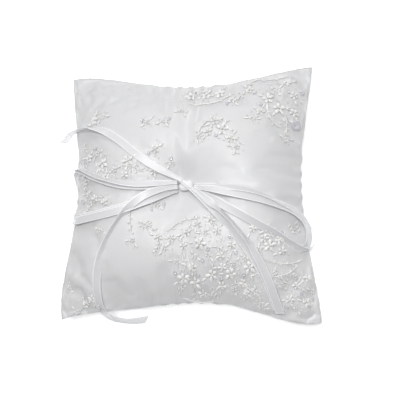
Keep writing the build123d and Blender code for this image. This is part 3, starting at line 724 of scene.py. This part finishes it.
cushion, cushion_faces, FRONT, BACK = cushion_points()
cushion = simulate(cushion, cushion_faces, FRONT, BACK)
cushion[:, 2] = np.maximum(cushion[:, 2], 0)
cushion_piece = piece("satin_cushion", cushion * MM, cushion_faces, satin)
crease = cushion_piece.data.attributes.new("crease_edge", "FLOAT", "EDGE")
ends = np.empty(len(cushion_piece.data.edges) * 2, np.int32)
cushion_piece.data.edges.foreach_get("vertices", ends)
on_border = np.zeros(len(cushion), bool)
on_border[np.concatenate([FRONT[0], FRONT[-1], FRONT[:, 0], FRONT[:, -1]])] = True
crease.data.foreach_set("value", BORDER_CREASE * on_border[ends.reshape(-1, 2)].all(axis=1))
finer = cushion_piece.modifiers.new("finer", "SUBSURF")
finer.levels = finer.render_levels = 1
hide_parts("front_cover", "back_cover", "fibre_filling")

FRONT_GRID = cushion[FRONT]
SHARES = grid_shares(CUSHION_GRID)


def on_front(u, v, lift):
    """Points on the finished front at cloth places (u, v), raised along its normal by lift."""
    column = np.interp(u, SHARES, np.arange(CUSHION_GRID))
    row = np.interp(v, SHARES, np.arange(CUSHION_GRID))
    left = np.clip(column.astype(int), 0, CUSHION_GRID - 2)
    low = np.clip(row.astype(int), 0, CUSHION_GRID - 2)
    across, along = (column - left)[..., None], (row - low)[..., None]
    corner_a, corner_b = FRONT_GRID[left, low], FRONT_GRID[left + 1, low]
    corner_c, corner_d = FRONT_GRID[left, low + 1], FRONT_GRID[left + 1, low + 1]
    near = corner_a * (1 - across) + corner_b * across
    far = corner_c * (1 - across) + corner_d * across
    side = (corner_b - corner_a) * (1 - along) + (corner_d - corner_c) * along
    ahead = far - near
    return near * (1 - along) + far * along + unit(np.cross(side, ahead)) * np.asarray(lift)[..., None]


def over(x, y, lift):
    """Points on the finished front over places (x, y) in the square, raised by lift."""
    u, v = cloth_place(np.asarray(x, float), np.asarray(y, float))
    u, v = (np.clip(share, -POINT_LIMIT, POINT_LIMIT) for share in (u, v))
    return on_front(u, v, lift)


# ---- The net ----
def lace_sheet():
    """One layer of net over the whole front, a little above the satin and down on it at the seam."""
    shares = grid_shares(2 * CUSHION_GRID - 1)
    u, v = np.meshgrid(shares, shares, indexing="ij")
    lift = 0.08 + 0.35 * (1 - np.maximum(np.abs(u), np.abs(v)) ** 10)
    points = on_front(u, v, lift) * MM
    made = piece("net_overlay", points, quads(len(shares), len(shares)), net)
    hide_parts("lace_overlay")


lace_sheet()


# ---- Tubes and small shapes ----
def rings_round(points, across, ups, radius, sides):
    """Circles round a line of points, in the planes of across and ups. radius may differ along it."""
    angles = np.linspace(0, 2 * pi, sides, endpoint=False)
    ring = across[:, None] * np.cos(angles)[None, :, None] + ups[:, None] * np.sin(angles)[None, :, None]
    return points[:, None] + ring * np.reshape(np.broadcast_to(radius, len(points)), (-1, 1, 1))


def tube(points, radius, sides=6):
    """A round tube along a line of points, as a grid of rings."""
    tangents, across = steady_frames(points)
    return rings_round(points, across, np.cross(tangents, across), radius, sides)


def join(name, groups, material, slot, *nodes):
    """Groups of ring grids as one piece, each grid closed by a cap at both ends. A group is
    (points, length of its map), with points as [grid, ring, place on the ring, 3]."""
    points, faces, caps, maps, start = [], [], [], [], 0
    for shapes, map_length in groups:
        count, rings, sides = shapes.shape[:3]
        starts = start + np.arange(count)[:, None] * rings * sides
        faces.append((quads(rings, sides, ring=True)[None] + starts[..., None]).reshape(-1, 4))
        for cap in end_caps(rings, sides):
            caps += (starts + cap).tolist()
        points.append(shapes.reshape(-1, 3))
        uv = ring_map(rings, sides, map_length)
        maps.append(np.broadcast_to(uv, (count, rings, sides, 2)).reshape(-1, 2))
        start += count * rings * sides
    points, faces, maps = (np.concatenate(parts) for parts in (points, faces, maps))
    made = piece(name, points * MM, faces, material, maps, caps)
    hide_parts(*nodes)


def ring_map(rings, sides, length=1.0):
    """A map for ring grids: along them first, round them second."""
    along, around = np.linspace(0, length, rings), np.linspace(0, 1, sides)
    return np.stack(np.meshgrid(along, around, indexing="ij"), -1)


def pads(x, y, heading, length, width, height, lift, rings=6, sides=8, point=0.75):
    """Low stuffed shapes on the front, each from its base at (x, y) towards its heading: as wide as
    a sine of the way along to a power, and domed across like half a circle."""
    x, y, heading = (np.asarray(part, float)[:, None, None] for part in (x, y, heading))
    length, width, height, lift = (
        np.broadcast_to(part, len(x)).astype(float)[:, None, None] for part in (length, width, height, lift)
    )
    way = np.linspace(0.0, 1.0, rings)[None, :, None]
    round_ = np.linspace(0, 2 * pi, sides, endpoint=False)[None, None, :]
    swell = np.maximum(np.sin(pi * way) ** point, 0.06)
    ahead = way * length
    aside = swell * width / 2 * np.cos(round_)
    raised = swell * height * np.where(np.sin(round_) > 0, np.sin(round_), 0.25 * np.sin(round_))
    spot_x = x + ahead * np.cos(heading) - aside * np.sin(heading)
    spot_y = y + ahead * np.sin(heading) + aside * np.cos(heading)
    return over(spot_x, spot_y, lift + raised)


def balls(x, y, radius, lift, rings=7, sides=8):
    """Small round beads standing on the front."""
    centres = over(x, y, np.asarray(lift, float) + np.zeros(len(x)))
    tilt = np.linspace(0.12, pi - 0.12, rings)[:, None]
    turn = np.linspace(0, 2 * pi, sides, endpoint=False)[None, :]
    shape = np.stack(
        np.broadcast_arrays(np.sin(tilt) * np.cos(turn), np.sin(tilt) * np.sin(turn), -np.cos(tilt)), -1
    )
    return centres[:, None, None] + shape[None] * np.reshape(np.broadcast_to(radius, len(x)), (-1, 1, 1, 1))


# ---- Embroidery ----
def away(x, y, reach, bearing):
    """The places at a reach from others, along a bearing."""
    return x + reach * np.cos(bearing), y + reach * np.sin(bearing)


LARGE, MEDIUM, SMALL = 4.6, 3.5, 2.4  # blossom radii
BLOSSOMS = {
    LARGE: [
        (66, 70), (74, 62), (-65, 20), (-43, 20), (14, -45), (0, -70), (22, -68), (36, -67),
        (50, -62), (65, -46), (31, 43), (9, -74), (4, 75), (28, 78),
    ],
    MEDIUM: [
        (17, 75), (38, 69), (52, 80), (60, 58), (88, 76), (20, 41), (25, 50), (37, 35), (-22, 29),
        (-46, 9), (-62, 9), (-23, 11), (-71, -8), (-62, -12), (-18, -40), (4, -37), (12, -31),
        (22, -27), (1, -47), (-8, -41), (27, -36), (37, -46), (29, -54), (29, -76), (45, -74),
        (14, -82), (48, -82), (53, -34), (61, -41), (72, -42), (74, -50), (57, -48), (85, -76),
        (93, -70), (80, -86), (92, -88), (-75, -86), (-82, -91), (-80, 27), (-83, 7), (86, 60),
        (82, 87), (-76, 58), (30, -62), (7, -62),
    ],
    SMALL: [
        (-29, 51), (-16, 51), (-2, 60), (54, 52), (79, 54), (13, 38), (42, 28), (-9, 18), (-71, 29),
        (-36, 15), (-54, 14), (-85, 17), (-80, -4), (-79, -15), (-20, -15), (-28, -31), (-64, -34),
        (-13, -48), (18, -37), (20, -53), (-4, -58), (47, -56), (57, -67), (56, -80), (58, -90),
        (38, -78), (22, -82), (50, -28), (63, -34), (67, -38), (68, -74), (75, -74), (84, -93),
        (97, -80), (-96, -78), (-90, -97), (11, 80), (45, 74), (72, 78), (80, 37), (-86, 36),
        (-3, -78), (9, -55), (38, -59), (-38, -42), (-68, 60),
    ],
}
# Each stem runs from one place to another and bows sideways by the last number.
STEMS = [
    ((46, 85), (84, 93), 2.0), ((78, 57), (80, 40), 1.5), ((66, 66), (76, 46), -5.0),
    ((12, 37), (25, 53), 3.0), ((25, 53), (41, 31), 3.0), ((2, 66), (38, 74), -3.0),
    ((-78, 55), (-72, 66), 1.5), ((-74, 24), (-56, 12), -3.0), ((-52, 16), (-30, 11), 2.5),
    ((-40, -19), (-38, -38), -1.0), ((-34, -28), (-20, -36), 1.5), ((-17, -43), (-22, -52), 1.0),
    ((-10, -36), (12, -27), 3.0), ((0, -52), (10, -65), -3.0), ((20, -48), (34, -52), 2.5),
    ((54, -28), (76, -46), 4.0), ((58, -54), (91, -56), -4.5), ((66, -69), (87, -60), -2.0),
    ((70, -61), (70, -68), -1.5), ((78, -66), (85, -71), 1.0), ((82, -82), (96, -92), 2.0),
    ((56, -86), (62, -93), 1.0), ((-3, -84), (24, -87), -2.5), ((38, -74), (58, -84), 2.0),
    ((-86, -95), (-70, -87), 2.0), ((80, -28), (84, -37), 0.8), ((85, -25), (89, -36), 0.8),
]
SEQUINS = [
    (-33, 53), (-12, 53), (-27, 26), (-10, 22), (-84, 24), (-83, 12), (-81, 1), (-84, -9),
    (36, -40), (40, -51), (20, -48.5), (16, -57), (94, 79), (56, -30), (74, -37), (-15, -14),
    (-72, 34), (8, 80.5), (34, 66), (56, 76), (60, 64), (26, 38), (12, -68), (29, -70), (-6, -66),
    (88, -82), (77, -91), (97, -86), (-70, -92), (46, -67),
]
LARGE_SEQUIN = (87, 50)

flowers = np.array([(x, y, size) for size, places in BLOSSOMS.items() for x, y in places])
flower_turn = rng.uniform(0, 2 * pi, len(flowers))


def petals():
    """Five stuffed petals round each blossom's middle, and in each a smaller raised one."""
    spread = np.arange(5) * 2 * pi / 5
    heading = (flower_turn[:, None] + spread + rng.normal(0, 0.1, (len(flowers), 5))).ravel()
    x, y, size = np.repeat(flowers, 5, axis=0).T
    inner = 0.16 * size
    length = size * rng.uniform(0.78, 1.0, len(size))
    start_x, start_y = away(x, y, inner, heading)
    wide = pads(start_x, start_y, heading, length, 0.66 * size, 0.25 + 0.08 * size, PETAL_LIFT)
    core_x, core_y = away(x, y, 0.3 * size, heading)
    raised = pads(
        core_x, core_y, heading, 0.5 * length, 0.3 * size, 0.35, PETAL_LIFT + 0.25 + 0.07 * size, 5, 6
    )
    return [(wide, 1.0), (raised, 1.0)]


def clear_of_edge(x, y):
    """Which places lie on the front, short of its seam."""
    u, v = cloth_place(x, y)
    return np.maximum(np.abs(u), np.abs(v)) < STITCH_LIMIT


def loose_stitches():
    """Short single satin stitches scattered round the blossoms."""
    x, y, size = np.repeat(flowers, 9, axis=0).T
    bearing = rng.uniform(0, 2 * pi, len(x))
    reach = size * rng.uniform(1.1, 2.1, len(x))
    spot_x, spot_y = away(x, y, reach, bearing)
    heading = bearing + rng.normal(0, 0.9, len(x))
    long = rng.uniform(1.0, 2.4, len(x))
    kept = clear_of_edge(spot_x, spot_y)
    shape = pads(spot_x[kept], spot_y[kept], heading[kept], long[kept], 0.6, 0.4, PETAL_LIFT, 5, 6)
    return [(shape, 0.4)]


join("embroidered_petals", petals() + loose_stitches(), stitching, "embroidery", "embroidered_blossoms")


def stem_line(start, end, bow):
    """A stem's middle line on the front, bowed sideways like a parabola; that line in plan, and the
    straight step from end to end."""
    way = np.linspace(0, 1, STEM_STATIONS)
    run = np.subtract(end, start)
    aside = np.array([-run[1], run[0]]) / np.hypot(*run)
    plan_line = np.array(start) + way[:, None] * run + (4 * bow * way * (1 - way))[:, None] * aside
    return over(plan_line[:, 0], plan_line[:, 1], np.full(STEM_STATIONS, STEM_LIFT)), plan_line, run


def stems():
    """Each stem as a round cord couched onto the net, thin at its tips."""
    way = np.linspace(0.12, pi - 0.12, STEM_STATIONS)
    shapes = [tube(stem_line(*stem)[0], STEM_RADIUS * np.minimum(1, np.sin(way) * 2.2)) for stem in STEMS]
    return [(np.array(shapes), 12.0)]


join("couched_stems", stems(), cording, "embroidery_cord", "corded_stems")


def leaves():
    """Pointed leaves: two beside each blossom, and small ones to either side in turn along every stem."""
    x, y, size = np.repeat(flowers, 2, axis=0).T
    heading = np.repeat(flower_turn, 2) + np.tile([0.6, 3.3], len(flowers)) + rng.normal(0, 0.3, len(x))
    start_x, start_y = away(x, y, 1.02 * size, heading)
    length = rng.uniform(3.0, 5.2, len(x))
    kept = clear_of_edge(*away(start_x, start_y, length, heading))
    large = pads(
        start_x[kept], start_y[kept], heading[kept], length[kept], 1.7, 0.45, PETAL_LIFT, 6, 6, 1.0
    )
    spots, turns = [], []
    for stem in STEMS:
        _, line, run = stem_line(*stem)
        bearing = np.arctan2(run[1], run[0])
        for count, station in enumerate(range(3, 20, 3)):
            spots.append(line[station])
            turns.append(bearing + (0.75 if count % 2 else -0.75))
    spots, turns = np.array(spots), np.array(turns)
    kept = clear_of_edge(*away(spots[:, 0], spots[:, 1], 3, turns))
    small = pads(spots[kept, 0], spots[kept, 1], turns[kept], 3.0, 1.25, 0.45, PETAL_LIFT, 6, 6, 1.0)
    return [(large, 1.0), (small, 1.0)]


join("embroidered_leaf_shapes", leaves(), stitching, "embroidery", "embroidered_leaves")


def beads():
    """A pearl bead in the middle of each larger blossom, and tiny ones scattered beside others."""
    large = flowers[flowers[:, 2] > SMALL]
    main = balls(large[:, 0], large[:, 1], BEAD_RADIUS, BEAD_LIFT)
    few = flowers[::2]
    bearing = rng.uniform(0, 2 * pi, len(few))
    x, y = away(few[:, 0], few[:, 1], 1.5 * few[:, 2], bearing)
    kept = clear_of_edge(x, y)
    tiny = balls(x[kept], y[kept], TINY_BEAD_RADIUS, TINY_BEAD_LIFT, 6, 6)
    return [(main, 1.0), (tiny, 1.0)]


join("pearl_beads", beads(), pearl_finish, "pearl_bead", "seed_beads")


def sequins():
    """Thin cupped discs with a hole: a small profile turned about each sequin's own middle."""
    spots = np.array(SEQUINS + [LARGE_SEQUIN], float)
    radius = np.append(np.full(len(SEQUINS), SEQUIN_RADIUS), LARGE_SEQUIN_RADIUS)
    turn = np.linspace(0, 2 * pi, SEQUIN_SIDES + 1)[:-1]
    reach, rise = np.array(SEQUIN_PROFILE).T
    out = radius[:, None, None] * reach[None, None, :]
    x = spots[:, :1, None] + out * np.cos(turn)[None, :, None]
    y = spots[:, 1:, None] + out * np.sin(turn)[None, :, None]
    points = over(x, y, SEQUIN_LIFT + radius[:, None, None] * rise[None, None, :] * SEQUIN_CUP)
    one = np.roll(quads(SEQUIN_SIDES, len(SEQUIN_PROFILE), ring=True, loop=True), -1, axis=1)
    starts = np.arange(len(spots))[:, None, None] * SEQUIN_SIDES * len(SEQUIN_PROFILE)
    faces = (one[None] + starts).reshape(-1, 4)
    made = piece("cupped_sequins", points * MM, faces, sequin_finish)
    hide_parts("clear_sequins")


sequins()


# ---- Seam, closing stitches and knot ----
def seam_ridge():
    """The folded edge where front and back meet: a fine rounded ridge all the way round."""
    sides = []
    way = np.linspace(-1, 1, RIDGE_STATIONS)[:-1]
    flat = np.ones_like(way)
    for u, v in ((way, -flat), (flat, way), (-way, flat), (-flat, -way)):
        x, y = plan(u, v)
        sides.append(np.stack([x, y, seam_level(u, v)], -1))
    line = np.concatenate(sides)
    ahead = unit(np.roll(line, -1, 0) - np.roll(line, 1, 0))
    outward = unit(np.cross(ahead, [0, 0, 1.0]))
    radius = RIDGE_RADIUS * (1 + 0.12 * np.sin(np.arange(len(line)) * 1.1))
    points = rings_round(line, outward, np.cross(outward, ahead), radius, RIDGE_SIDES)
    faces = quads(len(line), RIDGE_SIDES, ring=True, loop=True)
    made = piece("seam_ridge", points * MM, faces[:, ::-1], satin)
    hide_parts("seam_thread")


seam_ridge()


def whip_stitches():
    """Small slanted stitches that close the turning gap: each arcs over the seam from front to back."""
    low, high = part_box("closing_stitches")
    x = np.linspace(low.x / MM + 0.3, high.x / MM - 0.3, WHIP_COUNT)
    u, _ = cloth_place(x, np.full(WHIP_COUNT, CLOSING_EDGE))
    edge_x, edge_y = plan(u, np.ones(WHIP_COUNT))
    level = seam_level(u, np.ones(WHIP_COUNT))
    arc = np.linspace(-0.25 * pi, 1.25 * pi, WHIP_POINTS) - pi / 2
    out, up = np.cos(arc), np.sin(arc)
    shapes = []
    for x, y, z in zip(edge_x, edge_y, level):
        line = np.stack([x + 0.9 * up, y - 0.35 + 1.15 * out, z + 1.3 * up], -1)
        shapes.append(tube(line, WHIP_RADIUS))
    join("whip_stitches", [(np.array(shapes), 3.0)], thread, "sewing_thread", "closing_stitches")


whip_stitches()


def folded(name, points, map_length):
    """A closed grid of rings of folded ribbon, as a piece of the knot."""
    rings, sides = points.shape[:2]
    made = piece(
        name, points * MM, quads(rings, sides, ring=True), folded_finish,
        ring_map(rings, sides, map_length), end_caps(rings, sides),
    )
    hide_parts("bow_knot")


def knot():
    """The tied knot: a small squashed cushion of folded ribbon, pleated lengthways, under a band
    that crosses it."""
    low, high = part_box("bow_knot")
    middle = np.array((low + high) / 2) / MM
    tilt = np.linspace(0.03, pi - 0.03, KNOT_RINGS)[:, None]
    turn = np.linspace(0, 2 * pi, KNOT_SIDES, endpoint=False)[None, :]
    pleat = 1 + 0.045 * np.cos(7 * turn) * np.sin(tilt) ** 2
    along = KNOT_LENGTH * np.cos(tilt) + 0 * turn
    aside = KNOT_WIDTH * np.sin(tilt) ** 0.8 * np.cos(turn) * pleat
    up = KNOT_HEIGHT * np.sin(tilt) ** 0.8 * np.sin(turn) * pleat
    x = middle[0] + along * cos(KNOT_HEADING) - aside * sin(KNOT_HEADING)
    y = middle[1] + along * sin(KNOT_HEADING) + aside * cos(KNOT_HEADING)
    folded("bow_knot_core", np.stack([x, y, middle[2] + up], -1), 2.0)
    path = np.array(WRAP_PATH) + middle
    way = np.linspace(0, len(path) - 1, WRAP_STATIONS)
    line = np.stack([np.interp(way, np.arange(len(path)), path[:, axis]) for axis in range(3)], -1)
    line = smoothed(line[:, None], 14)[:, 0]
    tangents = unit(np.gradient(line, axis=0))
    side = unit(np.cross(tangents, [0, 0, 1.0]) + [0, 0, 1e-3])
    side = unit(side + unit(np.array(WRAP_LEAN)) * -2)
    up = unit(np.cross(side, tangents))
    ring = np.concatenate([np.linspace(-1, 1, WRAP_POINTS), np.linspace(1, -1, WRAP_POINTS)])
    face = np.concatenate([np.ones(WRAP_POINTS), -np.ones(WRAP_POINTS)])
    pleats = 0.22 * np.cos(ring * 7.5)
    half = WRAP_HALF_WIDTH + WRAP_FLARE * np.linspace(-1, 1, WRAP_STATIONS) ** 2
    wrap = (
        line[:, None]
        + side[:, None] * (half[:, None] * ring[None])[..., None]
        + up[:, None] * (WRAP_THICKNESS / 2 * face + pleats - 1.2 * ring**2)[None, :, None]
    )
    folded("bow_knot_wrap", wrap, 3.0)


knot()

for hidden_thread in ("tuft_thread", "back_tuft_stitch", "ribbon_tack_stitch"):
    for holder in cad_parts[hidden_thread].material_slots:
        holder.material = thread


# ---- Floor and light ----
def area_light(name, spot, aim, size, power):
    """A soft square light at a spot, turned to its aim; both in metres."""
    light = bpy.data.lights.new(name, "AREA")
    light.size, light.energy = size, power
    made = placed(name, light)
    towards = Matrix.Translation(spot).translation - Matrix.Translation(aim).translation
    made.matrix_world = Matrix.Translation(spot) @ towards.to_track_quat("Z", "Y").to_matrix().to_4x4()


def studio():
    """A white table that glows a little, a dim even surround, and two soft lights: one from beyond
    the pillow's top and one from overhead."""
    table, _, table_shader = shader("table_white", (0.97, 0.97, 0.97), 0.8, Emission_Strength=TABLE_GLOW)
    fill(table_shader, Emission_Color=(1, 1, 1, 1))
    mesh = bpy.data.meshes.new("table_top")
    turns = ((-1, -1), (1, -1), (1, 1), (-1, 1))
    corners = [(x * TABLE_REACH, y * TABLE_REACH, TABLE_LEVEL) for x, y in turns]
    mesh.from_pydata(corners, [], [(0, 1, 2, 3)])
    mesh.materials.append(table)
    top = placed("table_top", mesh)
    world = bpy.data.worlds.new("studio")
    world.use_nodes = True
    fill(world.node_tree.nodes["Background"], Color=(1, 1, 1, 1), Strength=SURROUND_STRENGTH)
    bpy.context.scene.world = world
    bpy.context.scene.view_settings.view_transform = "Standard"
    for light in LIGHTS:
        area_light(*light)


studio()
